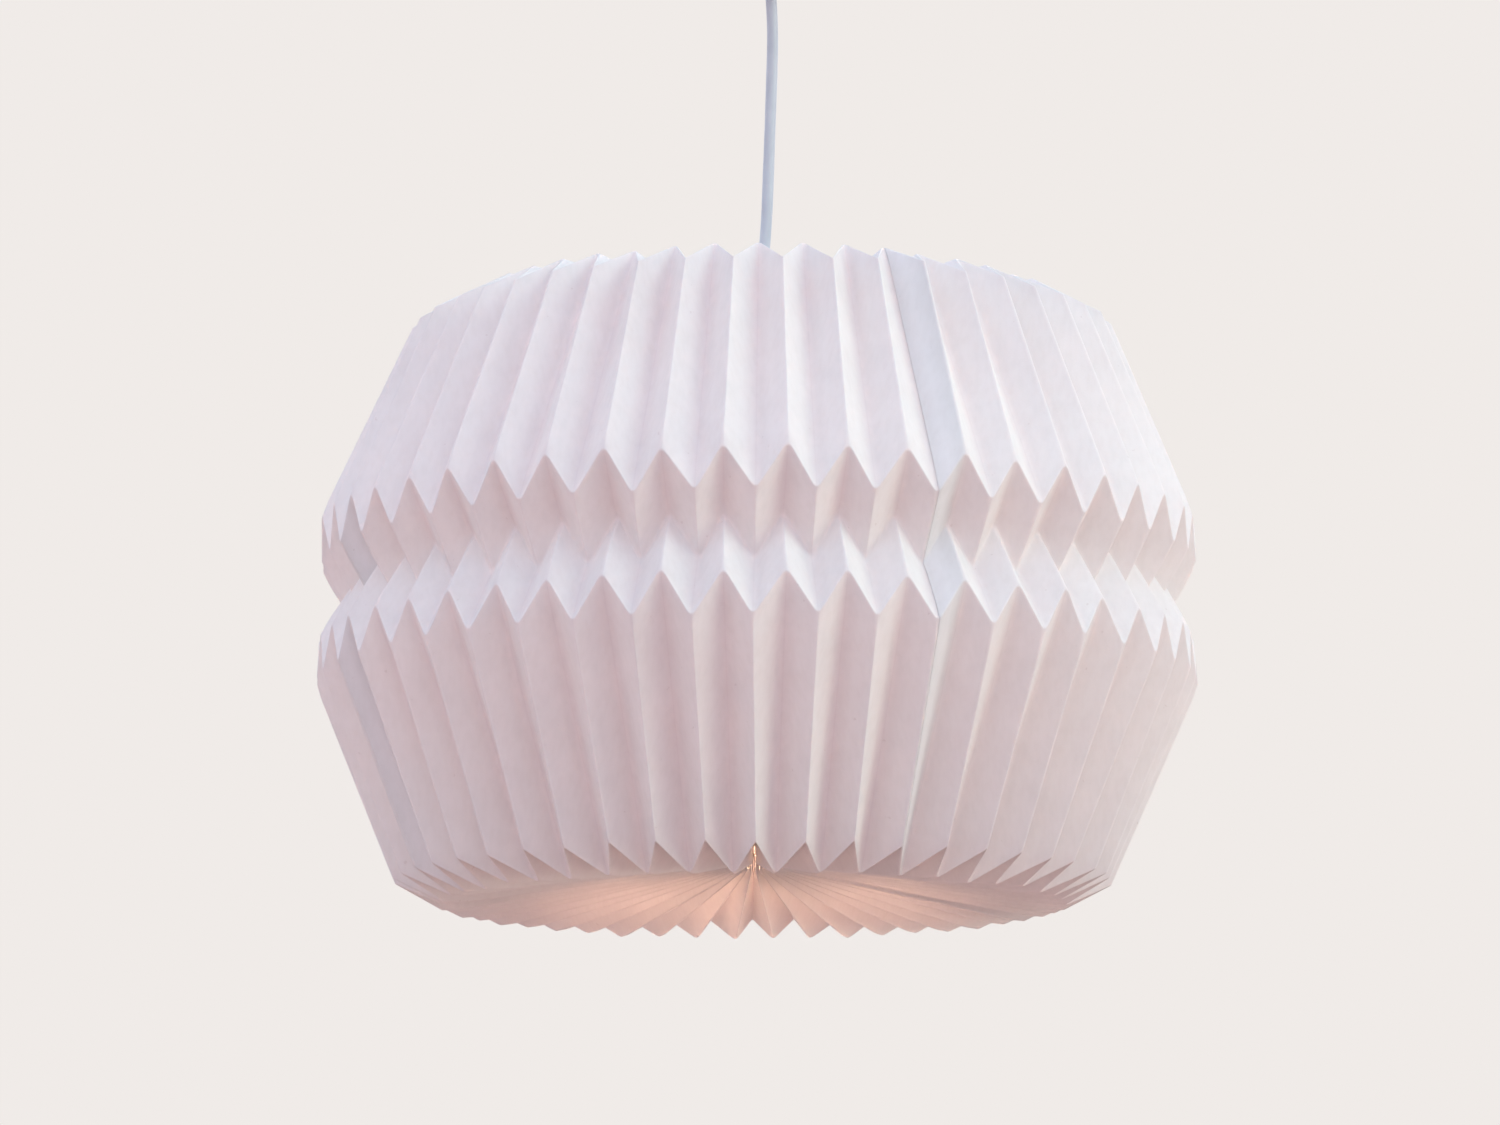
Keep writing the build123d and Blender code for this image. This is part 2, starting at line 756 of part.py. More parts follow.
for number in range(sheet_count):
    first_line = seam_line + number * panels_per_sheet
    holes = [
        Plane(punch_centre(index, end, r), z_dir=(cos((index + 0.5) * half_pitch),
                                                  sin((index + 0.5) * half_pitch), 0))
        for index in range(first_line, first_line + panels_per_sheet + 1)
        for end, r in gather_radii.items()
    ]
    with BuildPart() as shade_sheet:
        add(sheet_solid(first_line))
        with Locations(*holes):
            Cylinder(punch_r, punch_length, mode=Mode.SUBTRACT)
    save(shade_sheet.part, f"shade_sheet_{number + 1}")

for end, r in gather_radii.items():
    centre = punch_centre(0, end, r)
    with BuildPart() as gather_cord:
        with Locations((0, 0, centre.Z)):
            Torus(Vector(centre.X, centre.Y).length, gather_cord_r)
    save(gather_cord.part, f"{end}_gather_cord")
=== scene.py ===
import math
import random

import bpy
import numpy as np
from mathutils import Matrix, Vector


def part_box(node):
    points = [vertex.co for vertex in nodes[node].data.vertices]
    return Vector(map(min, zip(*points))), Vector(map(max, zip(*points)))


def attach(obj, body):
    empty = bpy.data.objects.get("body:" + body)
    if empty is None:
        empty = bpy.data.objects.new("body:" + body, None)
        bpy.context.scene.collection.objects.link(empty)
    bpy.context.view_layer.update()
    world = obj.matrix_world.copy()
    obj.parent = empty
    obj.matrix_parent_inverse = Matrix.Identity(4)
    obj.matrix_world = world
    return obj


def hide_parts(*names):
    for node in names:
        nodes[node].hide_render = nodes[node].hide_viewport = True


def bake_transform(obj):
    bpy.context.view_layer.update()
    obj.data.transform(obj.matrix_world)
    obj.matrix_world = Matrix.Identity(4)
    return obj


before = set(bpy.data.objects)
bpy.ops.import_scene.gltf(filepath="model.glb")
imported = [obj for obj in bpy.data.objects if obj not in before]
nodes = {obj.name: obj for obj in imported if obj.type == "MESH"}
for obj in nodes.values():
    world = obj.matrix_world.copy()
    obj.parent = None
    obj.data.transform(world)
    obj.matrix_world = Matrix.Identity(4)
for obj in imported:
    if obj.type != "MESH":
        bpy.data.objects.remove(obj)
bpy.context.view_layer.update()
MM = 0.001

# ---------------------------------------------------------------- shade form
# The paper is described by fold lines that run from the top gather to the bottom gather.
# Lines of kind A and kind B alternate. All sizes are in metres, heights from the shade's middle.

PLEATS = 48
LINES = 2 * PLEATS
SHEETS = 4
PANELS_PER_SHEET = LINES // SHEETS
# The fold line where the first sheet starts, counted from the front towards +X.
SEAM_LINE = 6
HALF_PITCH = math.pi / PLEATS

SHADE_MIDDLE_Z = -377.0 * MM
SHOULDER_R = 220.0 * MM
SHOULDER_OUTER_H = 40.5 * MM
SHOULDER_INNER_R = 219.0 * MM
SHOULDER_INNER_H = 18.0 * MM
WAIST_R = 201.0 * MM
WAIST_H = 11.2 * MM
RIM_OUTER_R = 178.3 * MM
RIM_OUTER_H = 138.4 * MM
RIM_INNER_R = 153.3 * MM
RIM_INNER_H = 151.5 * MM
DISC_SLOPE = 0.15
PLEAT_DEPTH = 19.2 * MM
TOP_GATHER_R = 22.0 * MM
BOTTOM_GATHER_R = 15.0 * MM

PAPER = 0.25 * MM
GLUE = 0.05 * MM
MOUNTAIN_SOFTNESS = 0.035
# Valleys are rounded as shares of a panel's width, section by section from the top disc.
VALLEY_SOFTNESS = (0.06, 0.27, 0.27, 0.27, 0.27, 0.06)
# How far each turn of a line is rounded: not at the gathers, and widest at the waist.
CREASE_LENGTHS = [length * MM for length in (0, 0.7, 0.8, 3.0, 0.8, 0.7, 0)]
# Extra mesh rows run this far from each turn.
NEAR_CREASE = [length * MM for length in (0.3, 0.8, 1.8)]
# How unevenly the folds turn, and each turn's share of it: little at the two gathers.
UNEVEN = 0.55 * MM
UNEVEN_SHARES = (0.15, 1.0, 1.0, 1.0, 1.0, 1.0, 0.15)
# The paper hangs a little askew: its right side is higher, and it is twisted towards the top.
ASKEW = 0.0166
TWIST = [math.radians(turn) for turn in (-1.0, -1.0, -0.8, -0.7, -0.5, 0, 0)]


def ridge_height(r):
    return RIM_INNER_H - DISC_SLOPE * (RIM_INNER_R - r)


LINE_A = [
    (TOP_GATHER_R, ridge_height(TOP_GATHER_R) - PLEAT_DEPTH),
    (RIM_OUTER_R, RIM_OUTER_H),
    (SHOULDER_R, SHOULDER_OUTER_H),
    (WAIST_R, WAIST_H),
    (SHOULDER_INNER_R, -SHOULDER_INNER_H),
    (RIM_INNER_R, -RIM_INNER_H),
    (BOTTOM_GATHER_R, -ridge_height(BOTTOM_GATHER_R)),
]
LINE_B = [
    (TOP_GATHER_R, ridge_height(TOP_GATHER_R)),
    (RIM_INNER_R, RIM_INNER_H),
    (SHOULDER_INNER_R, SHOULDER_INNER_H),
    (WAIST_R, -WAIST_H),
    (SHOULDER_R, -SHOULDER_OUTER_H),
    (RIM_OUTER_R, -RIM_OUTER_H),
    (BOTTOM_GATHER_R, PLEAT_DEPTH - ridge_height(BOTTOM_GATHER_R)),
]
# How many mesh rows each section gets, from the top disc to the bottom disc.
SECTION_ROWS = (22, 22, 9, 9, 22, 22)
SECTIONS = len(SECTION_ROWS)
# How much the rows crowd towards both ends of a section, from 0 (evenly spread) to 1.
ROW_CROWDING = 0.65
# Ordinary rows keep this many times the farthest near-crease row's distance from a crease.
CREASE_CLEARANCE = 1.3
# Places across a panel, as shares of its width, close together at the folds.
PANEL_PLACES = (0.0, 0.02, 0.05, 0.1, 0.18, 0.32, 0.5, 0.68, 0.82, 0.9, 0.95, 0.98)


def uneven_nodes():
    """Small hand-made differences in where the folds of each line turn."""
    draw = random.Random(7)
    jitter = np.array([[[draw.gauss(0, 1) for _ in range(3)] for _ in range(7)] for _ in range(LINES)])
    return jitter * np.array(UNEVEN_SHARES)[None, :, None] * UNEVEN


JITTER = uneven_nodes()


def line_nodes(index):
    """The seven points of one fold line in the row frame."""
    profile = LINE_A if index % 2 else LINE_B
    points = []
    for (r, height), twist in zip(profile, TWIST):
        angle = index * HALF_PITCH + twist
        x, y = r * math.sin(angle), -r * math.cos(angle)
        points.append((x, y, SHADE_MIDDLE_Z + height + ASKEW * x))
    return np.array(points) + JITTER[index]


SECTION_LENGTHS = [math.dist(LINE_A[k], LINE_A[k + 1]) for k in range(SECTIONS)]


def section_places():
    """Row positions in node units, 0 at the top gather and 6 at the bottom gather."""
    places = [float(SECTIONS)]
    for section, rows in enumerate(SECTION_ROWS):
        near = NEAR_CREASE[-1] / SECTION_LENGTHS[section]
        places.append(float(section))
        places += [section + reach / SECTION_LENGTHS[section] for reach in NEAR_CREASE]
        places += [section + 1 - reach / SECTION_LENGTHS[section] for reach in NEAR_CREASE]
        for i in range(1, rows):
            t = i / rows
            eased = (1 - ROW_CROWDING) * t + ROW_CROWDING * (0.5 - 0.5 * math.cos(math.pi * t))
            if CREASE_CLEARANCE * near < eased < 1 - CREASE_CLEARANCE * near:
                places.append(section + eased)
    return np.array(sorted(places))


ROWS = section_places()
# How far from a turn one section's values start to change into the next one's.
TURN_REACH = 9.0 * MM


def by_section(values):
    """One value for each section spread over the rows, changing smoothly near the turns."""
    spread = []
    for place in ROWS:
        section = min(int(place), SECTIONS - 1)
        node = round(place)
        other = section - 1 if node == section else section + 1
        if not 0 <= other < SECTIONS:
            spread.append(values[section])
            continue
        share = min(abs(place - node) * SECTION_LENGTHS[section] / TURN_REACH, 1)
        share = 0.5 + 0.5 * (3 * share ** 2 - 2 * share ** 3)
        spread.append(values[section] * share + values[other] * (1 - share))
    return np.array(spread)


def soft_corner(before, corner, after, offset, reach):
    """A point near a corner of a polyline whose corner is rounded over reach on both sides."""
    return corner + (after - corner) * (reach + offset) ** 2 / (4 * reach) - (
        corner - before) * (reach - offset) ** 2 / (4 * reach)


def fold_curve(index):
    """A fold line sampled at every mesh row, with its turns softened."""
    points = line_nodes(index)
    lengths = np.linalg.norm(np.diff(points, axis=0), axis=1)
    curve = []
    for place in ROWS:
        section = min(int(place), SECTIONS - 1)
        t = place - section
        nearest = section if t < 0.5 else section + 1
        if 0 < nearest < SECTIONS:
            length = lengths[nearest] if t < 0.5 else lengths[nearest - 1]
            away = (place - nearest) * length
            reach = CREASE_LENGTHS[nearest]
            if abs(away) < reach:
                before = points[nearest] + (points[nearest - 1] - points[nearest]) / lengths[nearest - 1]
                after = points[nearest] + (points[nearest + 1] - points[nearest]) / lengths[nearest]
                curve.append(soft_corner(before, points[nearest], after, away, reach))
                continue
        curve.append(points[section] * (1 - t) + points[section + 1] * t)
    return np.array(curve)


CURVES = [fold_curve(i) for i in range(LINES)]


def valley_share(parity):
    """1 where the lines of this parity are valleys, 0 where they are mountains."""
    return by_section([float((section + parity) % 2) for section in range(SECTIONS)])


def softness(parity):
    """How widely a fold is rounded at every row. A fold is a mountain and a valley by turns."""
    return by_section([VALLEY_SOFTNESS[section] if (section + parity) % 2 else MOUNTAIN_SOFTNESS
                       for section in range(SECTIONS)])


VALLEY_SHARES = [valley_share(0), valley_share(1)]
SOFTNESSES = [softness(0), softness(1)]
# How far up a panel the painted shade of a valley reaches, as a share of the panel's width.
VALLEY_PAINTED_SHADE_WIDTH = 0.45
# A glued flap stops more than this share of a panel short of the fold line. The over flap stands off by one
# layer, and comes down again over the first quarter of the next panel.
FLAP_MARGIN = 0.03
LAP_FALL = 4


def surface_row(line, place):
    """Points down the sheet at a place between two fold lines, with soft folds."""
    index = line if place <= 0.5 else line + 1
    away = place if place <= 0.5 else place - 1
    left, here, right = (CURVES[(index + k) % LINES] for k in (-1, 0, 1))
    reach = SOFTNESSES[index % 2][:, None]
    flat = here + (right - here) * away if away >= 0 else here + (here - left) * away
    offset = np.clip(away, -reach, reach)
    soft = soft_corner(left, here, right, offset, reach)
    return np.where(np.abs(away) < reach, soft, flat)


def painted_valley_shade(line, place):
    """Painted shade near the valleys: 1 in a valley, falling to 0 some way up the panel on each side of it.
    """
    near_left = VALLEY_SHARES[line % 2] * max(0.0, 1 - place / VALLEY_PAINTED_SHADE_WIDTH)
    near_right = VALLEY_SHARES[(line + 1) % 2] * max(0.0, 1 - (1 - place) / VALLEY_PAINTED_SHADE_WIDTH)
    return np.maximum(near_left, near_right)


def sheet_columns(number):
    """(line, place, lift) for every column of one sheet, over flap first, under flap last."""
    first = SEAM_LINE + number * PANELS_PER_SHEET
    last = first + PANELS_PER_SHEET
    columns = []
    for line in range(first, last + 1):
        for place in PANEL_PLACES:
            if line == first and place < FLAP_MARGIN:
                continue
            if line == last and place > 1 - FLAP_MARGIN:
                continue
            lift = 0.0
            if line == first:
                lift = 1.0
            if line == first + 1:
                lift = max(0.0, 1 - place * LAP_FALL)
            columns.append((line, place, lift))
    return columns


def lap_share(line, place, first):
    """How clearly the double layer shows: on a sheet's first panel only, fading out towards both folds."""
    return min(1.0, 3 * place, 2 * (1 - place)) if line == first else 0.0


def build_sheet(number):
    """One glued paper sheet, with the attributes that its material reads."""
    columns = sheet_columns(number)
    rows = len(ROWS)
    grid = np.array([surface_row(line, place) for line, place, _ in columns])
    across = np.gradient(grid, axis=0)
    down = np.gradient(grid, axis=1)
    normal = np.cross(down, across)
    normal /= np.linalg.norm(normal, axis=2, keepdims=True)
    lift = np.array([c[2] for c in columns])[:, None, None]
    grid = grid + normal * lift * (PAPER + GLUE)
    faces = []
    for c in range(len(columns) - 1):
        for r in range(rows - 1):
            a = c * rows + r
            faces.append((a, a + 1, a + rows + 1, a + rows))
    mesh = bpy.data.meshes.new(f"paper_sheet_{number + 1}")
    mesh.from_pydata(grid.reshape(-1, 3).tolist(), [], faces)
    fold = np.array([[min(place, 1 - place)] * rows for _, place, _ in columns]).ravel()
    lap = np.array([[lap_share(line, place, columns[0][0])] * rows for line, place, _ in columns]).ravel()
    # How much painted shade each point gets from a nearby valley.
    valley = np.array([painted_valley_shade(line, place) for line, place, _ in columns]).ravel()
    for name, values in (("fold", fold), ("lap", lap), ("valley", valley)):
        attribute = mesh.attributes.new(name, "FLOAT", "POINT")
        attribute.data.foreach_set("value", values.astype(np.float32))
    for polygon in mesh.polygons:
        polygon.use_smooth = True
    piece = bpy.data.objects.new(f"paper_sheet_{number + 1}", mesh)
    bpy.context.scene.collection.objects.link(piece)
    solid = piece.modifiers.new("thickness", "SOLIDIFY")
    solid.thickness = PAPER
    solid.offset = 0
    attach(piece, "shade")
    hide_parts(f"shade_sheet_{number + 1}")
    return piece


# ---------------------------------------------------------------- flex and gather cords

FLEX_R = 2.85 * MM
FLEX_SIDES = 24
FLEX_POINTS = 160
# The two cores inside lie in a slow twist that shows faintly in the sheath: (share, length, phase).
CORE_WAVES = ((0.012, 9 * MM, 0), (0.006, 2.7 * MM, 1))
# How far the slack flex stands off the axis, as (height, x, y) places in millimetres.
FLEX_BOW = ((-31, 0, 0), (-40, 0.2, 0.1), (-52, 1.1, 0.3), (-66, 2.2, 0.5), (-80, 2.75, 0.5),
            (-95, 2.7, 0.3), (-120, 2.3, 0), (-150, 1.75, -0.2), (-175, 1.15, -0.2), (-188, 0.5, -0.1),
            (-196, 0, 0), (-200, 0, 0))


def smooth_path(places, count):
    """Points evenly spread along a soft curve through the places."""
    places = np.array(places, dtype=float)
    known = np.concatenate(([0], np.cumsum(np.linalg.norm(np.diff(places, axis=0), axis=1))))
    tangents = np.gradient(places, known, axis=0)
    result = []
    for where in np.linspace(0, known[-1], count):
        k = min(int(np.searchsorted(known, where, side="right")) - 1, len(known) - 2)
        span = known[k + 1] - known[k]
        t = (where - known[k]) / span
        start = (2 * t ** 3 - 3 * t ** 2 + 1) * places[k] + (t ** 3 - 2 * t ** 2 + t) * span * tangents[k]
        end = (3 * t ** 2 - 2 * t ** 3) * places[k + 1] + (t ** 3 - t ** 2) * span * tangents[k + 1]
        result.append(start + end)
    return np.array(result)


def tube(name, path, radius, sides, closed=False):
    """A round tube along a path, capped if it's open. The radius is one number, or one for each point."""
    path = np.array(path)
    count = len(path)
    radii = np.broadcast_to(radius, count)
    if closed:
        along = np.roll(path, -1, axis=0) - np.roll(path, 1, axis=0)
    else:
        along = np.gradient(path, axis=0)
    along /= np.linalg.norm(along, axis=1, keepdims=True)
    hint = np.array([0.0, 0.0, 1.0]) if abs(along[0][2]) < 0.9 else np.array([1.0, 0.0, 0.0])
    side = np.cross(along[0], hint)
    side /= np.linalg.norm(side)
    points = []
    for k in range(count):
        side = side - along[k] * np.dot(side, along[k])
        side /= np.linalg.norm(side)
        up = np.cross(along[k], side)
        for j in range(sides):
            turn = 2 * math.pi * j / sides
            points.append(path[k] + radii[k] * (math.cos(turn) * side + math.sin(turn) * up))
    faces = []
    for k in range(count if closed else count - 1):
        a, b = k * sides, ((k + 1) % count) * sides
        for j in range(sides):
            n = (j + 1) % sides
            faces.append((a + j, a + n, b + n, b + j))
    if not closed:
        faces.append(tuple(reversed(range(sides))))
        faces.append(tuple(range((count - 1) * sides, count * sides)))
    mesh = bpy.data.meshes.new(name)
    mesh.from_pydata([tuple(p) for p in points], [], faces)
    for polygon in mesh.polygons:
        polygon.use_smooth = len(polygon.vertices) == 4
    piece = bpy.data.objects.new(name, mesh)
    bpy.context.scene.collection.objects.link(piece)
    return piece


def joined(name, pieces):
    """One object with the meshes of all the pieces."""
    for other in bpy.context.selected_objects:
        other.select_set(False)
    for piece in pieces:
        piece.select_set(True)
    bpy.context.view_layer.objects.active = pieces[0]
    bpy.ops.object.join()
    pieces[0].name = name
    pieces[0].data.name = name
    return pieces[0]


def build_flex():
    """The visible flex from the ceiling cup to the lampholder, hanging in a slight bow."""
    path = smooth_path([(x * MM, y * MM, z * MM) for z, x, y in FLEX_BOW], FLEX_POINTS)
    lengths = np.concatenate(([0], np.cumsum(np.linalg.norm(np.diff(path, axis=0), axis=1))))
    waves = sum(share * np.sin(lengths / length + phase) for share, length, phase in CORE_WAVES)
    radius = FLEX_R * (1 + waves)
    piece = tube("flex_sheath", path, radius, FLEX_SIDES)
    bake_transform(piece)
    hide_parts("flex_drop")
    return piece


# One strand's radius, how far it lies off the cord's middle, and the length of one turn of the lay.
CORD_STRAND_R = 0.42 * MM
CORD_TWIST = 0.28 * MM
CORD_PITCH = 2.6 * MM
CORD_STRANDS = 3
CORD_SIDES = 8
CORD_POINTS = 720
# The CAD cord's own radius, and how much the real one wanders sideways and in height.
CORD_R = 0.6 * MM
CORD_SWAY = 0.1 * MM
CORD_RISE = 0.12 * MM
CORD_RISES = 7
KNOT_ANGLE = math.radians(96)
KNOT_POINTS = 90
TAIL_POINTS = 40


def twisted_strands(name, centre_line, closed):
    """A cord's strands, laid around its centre line."""
    centre_line = np.array(centre_line)
    step = np.linalg.norm(np.diff(centre_line, axis=0), axis=1)
    lengths = np.concatenate(([0], np.cumsum(step)))
    total = lengths[-1] + (np.linalg.norm(centre_line[0] - centre_line[-1]) if closed else 0)
    turns = max(1, round(total / CORD_PITCH))
    if closed:
        along = np.roll(centre_line, -1, axis=0) - np.roll(centre_line, 1, axis=0)
    else:
        along = np.gradient(centre_line, axis=0)
    along /= np.linalg.norm(along, axis=1, keepdims=True)
    side = np.cross(along, np.array([0.0, 0.0, 1.0]))
    side /= np.maximum(np.linalg.norm(side, axis=1, keepdims=True), 1e-9)
    up = np.cross(along, side)
    strands = []
    for strand in range(CORD_STRANDS):
        turn = (2 * math.pi * (lengths / total * turns + strand / CORD_STRANDS))[:, None]
        path = centre_line + CORD_TWIST * (np.cos(turn) * side + np.sin(turn) * up)
        strands.append(tube(f"{name}_{strand}", path, CORD_STRAND_R, CORD_SIDES, closed=closed))
    return strands


def cord_ring(radius, height):
    """The cord's way round through the punched holes, not quite round and not quite level."""
    ring = []
    for k in range(CORD_POINTS):
        turn = 2 * math.pi * k / CORD_POINTS
        reach = radius + CORD_SWAY * math.sin(PLEATS * turn)
        rise = CORD_RISE * math.sin(CORD_RISES * turn)
        ring.append((math.sin(turn) * reach, -math.cos(turn) * reach, height + rise))
    return ring


def build_gather_cord(node, name, outwards):
    """The cord through the pleats, tied off in a small knot with two cut tails."""
    low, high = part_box(node)
    height = (low.z + high.z) / 2
    radius = (high.x - low.x) / 2 - CORD_R
    strands = twisted_strands(name, cord_ring(radius, height), True)
    out = np.array([math.sin(KNOT_ANGLE), -math.cos(KNOT_ANGLE), 0.0])
    along = np.array([math.cos(KNOT_ANGLE), math.sin(KNOT_ANGLE), 0.0])
    up = np.array([0.0, 0.0, outwards])
    centre = out * radius + np.array([0, 0, height])
    # The knot is a small closed figure of three waves, in millimetres along, up and out.
    loops = []
    for k in range(KNOT_POINTS):
        turn = 2 * math.pi * k / KNOT_POINTS
        loops.append(centre + 1.25 * MM * (math.sin(2 * turn) + 0.4 * math.sin(turn)) * along
                     + 1.1 * MM * math.cos(3 * turn) * up + 1.25 * MM * math.cos(2 * turn) * out)
    strands += twisted_strands(name + "_knot", loops, True)
    for way in (-1, 1):
        tail = smooth_path([centre, centre + 1.6 * MM * (way * along + 0.4 * up),
                            centre + (2.6 * way * along + 2.2 * up + 0.3 * out) * MM,
                            centre + (3.3 * way * along + 4.4 * up - 0.5 * out) * MM], TAIL_POINTS)
        strands += twisted_strands(name + f"_tail_{way + 1}", tail, False)
    piece = joined(name, strands)
    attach(piece, "shade")
    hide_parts(node)
    return piece


# ---------------------------------------------------------------- materials

def new_material(name):
    """An empty node material and its node tree."""
    material = bpy.data.materials.new(name)
    material.use_nodes = True
    material.node_tree.nodes.clear()
    return material, material.node_tree


def noise(tree, scale, detail, stretch=(1, 1, 1)):
    """A noise texture with this many patches to the metre, finer or coarser along some axes."""
    place = tree.nodes.new("ShaderNodeTexCoord")
    mapping = tree.nodes.new("ShaderNodeMapping")
    mapping.inputs["Scale"].default_value = stretch
    tree.links.new(place.outputs["Object"], mapping.inputs["Vector"])
    texture = tree.nodes.new("ShaderNodeTexNoise")
    texture.inputs["Scale"].default_value = scale
    texture.inputs["Detail"].default_value = detail
    tree.links.new(mapping.outputs["Vector"], texture.inputs["Vector"])
    return texture


def ramp(tree, source, stops):
    """A colour ramp with (position, colour) stops."""
    node = tree.nodes.new("ShaderNodeValToRGB")
    elements = node.color_ramp.elements
    for k, (position, colour) in enumerate(stops):
        element = elements[k] if k < 2 else elements.new(position)
        element.position = position
        element.color = (*colour, 1)
    tree.links.new(source, node.inputs["Fac"])
    return node


def finish(name, dark, light, rough=(0.4, 0.5), metal=0.0, scale=60, grain=600, grain_depth=0.05,
           stretch=(1, 1, 1), coat=0.0, specular=0.5, scratches=0.0):
    """A surface whose tone, roughness and relief all change softly from place to place."""
    material, tree = new_material(name)
    join = tree.links.new
    out = tree.nodes.new("ShaderNodeOutputMaterial")
    body = tree.nodes.new("ShaderNodeBsdfPrincipled")
    body.inputs["Metallic"].default_value = metal
    body.inputs["Coat Weight"].default_value = coat
    body.inputs["Coat Roughness"].default_value = 0.2
    body.inputs["Specular IOR Level"].default_value = specular
    tone = ramp(tree, noise(tree, scale, 5, stretch).outputs["Fac"], [(0.32, dark), (0.68, light)])
    colour = tone.outputs["Color"]
    wear = noise(tree, scale * 2.3, 4, stretch)
    roughness = tree.nodes.new("ShaderNodeMapRange")
    roughness.inputs["From Min"].default_value = 0.3
    roughness.inputs["From Max"].default_value = 0.7
    roughness.inputs["To Min"].default_value = rough[0]
    roughness.inputs["To Max"].default_value = rough[1]
    join(wear.outputs["Fac"], roughness.inputs["Value"])
    relief = noise(tree, grain, 4, stretch)
    bump = tree.nodes.new("ShaderNodeBump")
    bump.inputs["Strength"].default_value = 0.35
    bump.inputs["Distance"].default_value = grain_depth * MM
    join(relief.outputs["Fac"], bump.inputs["Height"])
    if scratches:
        marks = noise(tree, 260, 2, (1, 14, 1))
        line = ramp(tree, marks.outputs["Fac"], [(0.60, (0, 0, 0)), (0.64, (1, 1, 1))])
        worn = tree.nodes.new("ShaderNodeMix")
        worn.data_type = "RGBA"
        worn.inputs["B"].default_value = (*[min(1.0, c * 1.35) for c in light], 1)
        strength = tree.nodes.new("ShaderNodeMath")
        strength.operation = "MULTIPLY"
        strength.inputs[1].default_value = scratches
        join(line.outputs["Color"], strength.inputs[0])
        join(strength.outputs["Value"], worn.inputs["Factor"])
        join(colour, worn.inputs["A"])
        colour = worn.outputs["Result"]
    join(colour, body.inputs["Base Color"])
    join(roughness.outputs["Result"], body.inputs["Roughness"])
    join(bump.outputs["Normal"], body.inputs["Normal"])
    join(body.outputs["BSDF"], out.inputs["Surface"])
    return material


def glass_material(name, tint, rough):
    """Clear glass with slight waviness. Light from inside passes it without a shadow."""
    material, tree = new_material(name)
    join = tree.links.new
    out = tree.nodes.new("ShaderNodeOutputMaterial")
    body = tree.nodes.new("ShaderNodeBsdfPrincipled")
    body.inputs["Transmission Weight"].default_value = 1
    body.inputs["IOR"].default_value = 1.46
    body.inputs["Roughness"].default_value = rough
    tone = ramp(tree, noise(tree, 35, 3).outputs["Fac"], [(0.3, tint), (0.7, (0.99, 0.99, 0.985))])
    bump = tree.nodes.new("ShaderNodeBump")
    bump.inputs["Strength"].default_value = 0.15
    bump.inputs["Distance"].default_value = 0.1 * MM
    join(noise(tree, 90, 2).outputs["Fac"], bump.inputs["Height"])
    join(bump.outputs["Normal"], body.inputs["Normal"])
    join(tone.outputs["Color"], body.inputs["Base Color"])
    clear = tree.nodes.new("ShaderNodeBsdfTransparent")
    path = tree.nodes.new("ShaderNodeLightPath")
    mix = tree.nodes.new("ShaderNodeMixShader")
    join(path.outputs["Is Shadow Ray"], mix.inputs["Fac"])
    join(body.outputs["BSDF"], mix.inputs[1])
    join(clear.outputs["BSDF"], mix.inputs[2])
    join(mix.outputs["Shader"], out.inputs["Surface"])
    return material


def lit_filament():
    """Yellow phosphor on the rods, glowing brighter along their middle."""
    material, tree = new_material("lit_filament")
    join = tree.links.new
    out = tree.nodes.new("ShaderNodeOutputMaterial")
    body = tree.nodes.new("ShaderNodeBsdfPrincipled")
    spots = ramp(tree, noise(tree, 900, 3, (1, 1, 0.4)).outputs["Fac"],
                 [(0.35, (1.0, 0.52, 0.16)), (0.65, (1.0, 0.74, 0.36))])
    join(spots.outputs["Color"], body.inputs["Base Color"])
    join(spots.outputs["Color"], body.inputs["Emission Color"])
    body.inputs["Emission Strength"].default_value = 9
    body.inputs["Roughness"].default_value = 0.6
    join(body.outputs["BSDF"], out.inputs["Surface"])
    return material


# The share of the paper's shading that is light coming through from the other side.
PAPER_LIGHT_SHARE = 0.2


